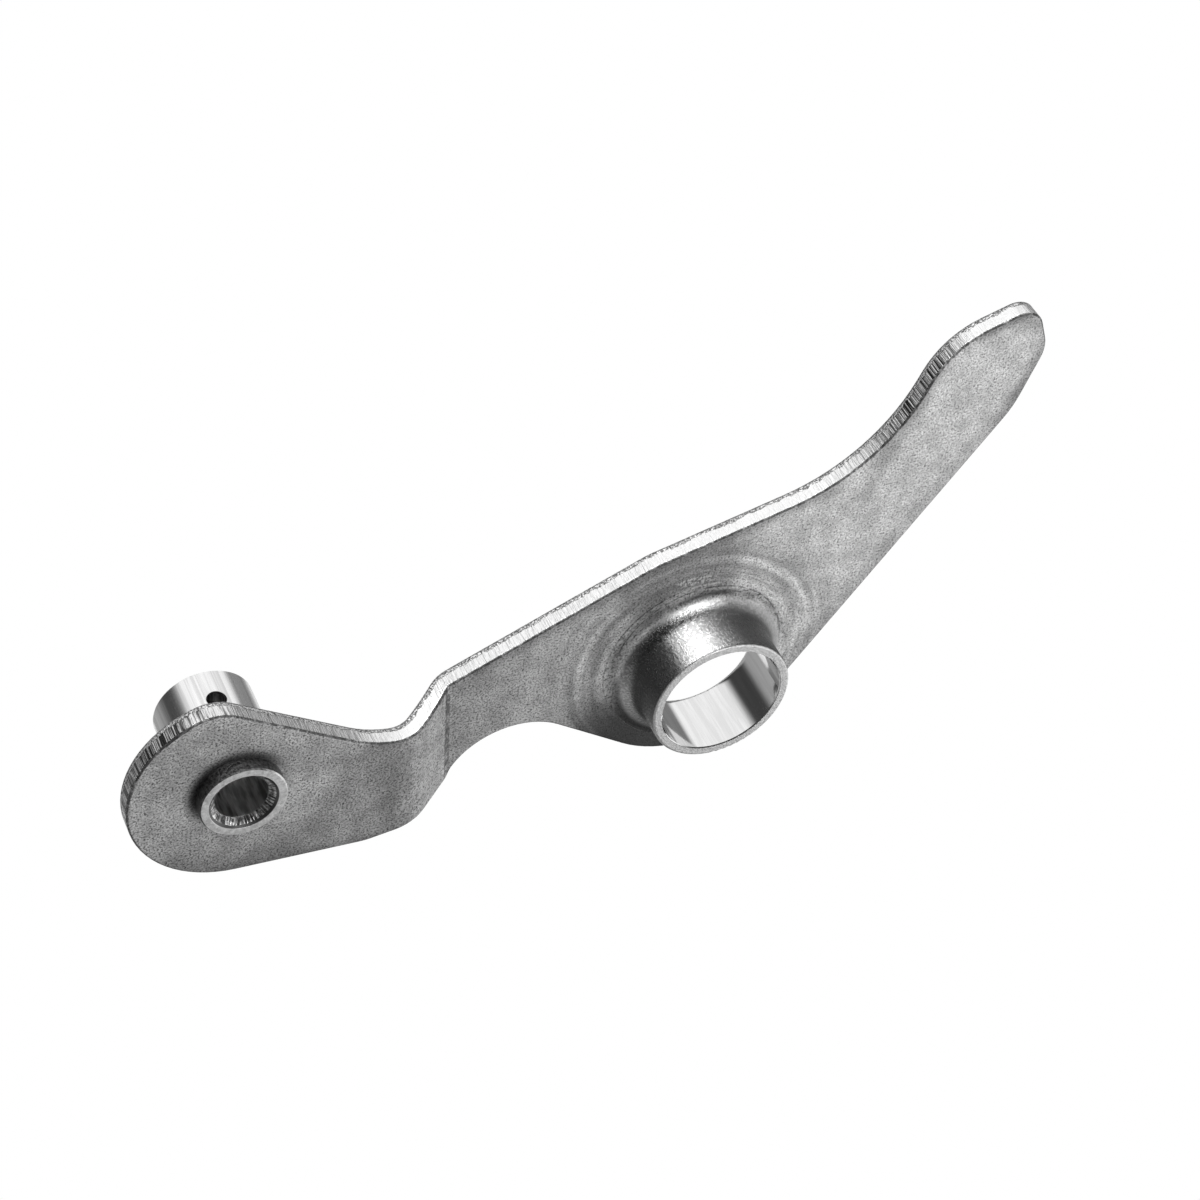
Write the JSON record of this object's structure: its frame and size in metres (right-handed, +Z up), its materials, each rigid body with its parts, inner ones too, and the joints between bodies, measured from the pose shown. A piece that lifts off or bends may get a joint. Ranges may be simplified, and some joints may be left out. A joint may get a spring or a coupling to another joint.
{
  "type": "chain tensioner arm",
  "caption": "Flat joggled sheet-steel lever with a drawn pivot collar, a hollow pressed-in roller pin on the stepped round end and a rounded push pad on the other.",
  "frame": {"origin": "where the pivot axis meets the plane of the lever's front face, inside the pivot bore", "axes": "+X from the roller pin through the pivot towards the push pad's end, +Y along the pivot axis towards the back, where the roller pin stands out, with the collar on the -Y side, +Z up in the lever's plane towards the push pad"},
  "size_m": [0.1082, 0.0155, 0.0587],
  "materials": {
    "stamped_steel": "matt tumbled sheet steel with bright sheared edges and a polished collar",
    "turned_steel": "ground and polished turned steel"
  },
  "bodies": {
    "root": {"tensioner_arm": "stamped_steel", "roller_pin": "turned_steel"}
  },
  "joints": []
}
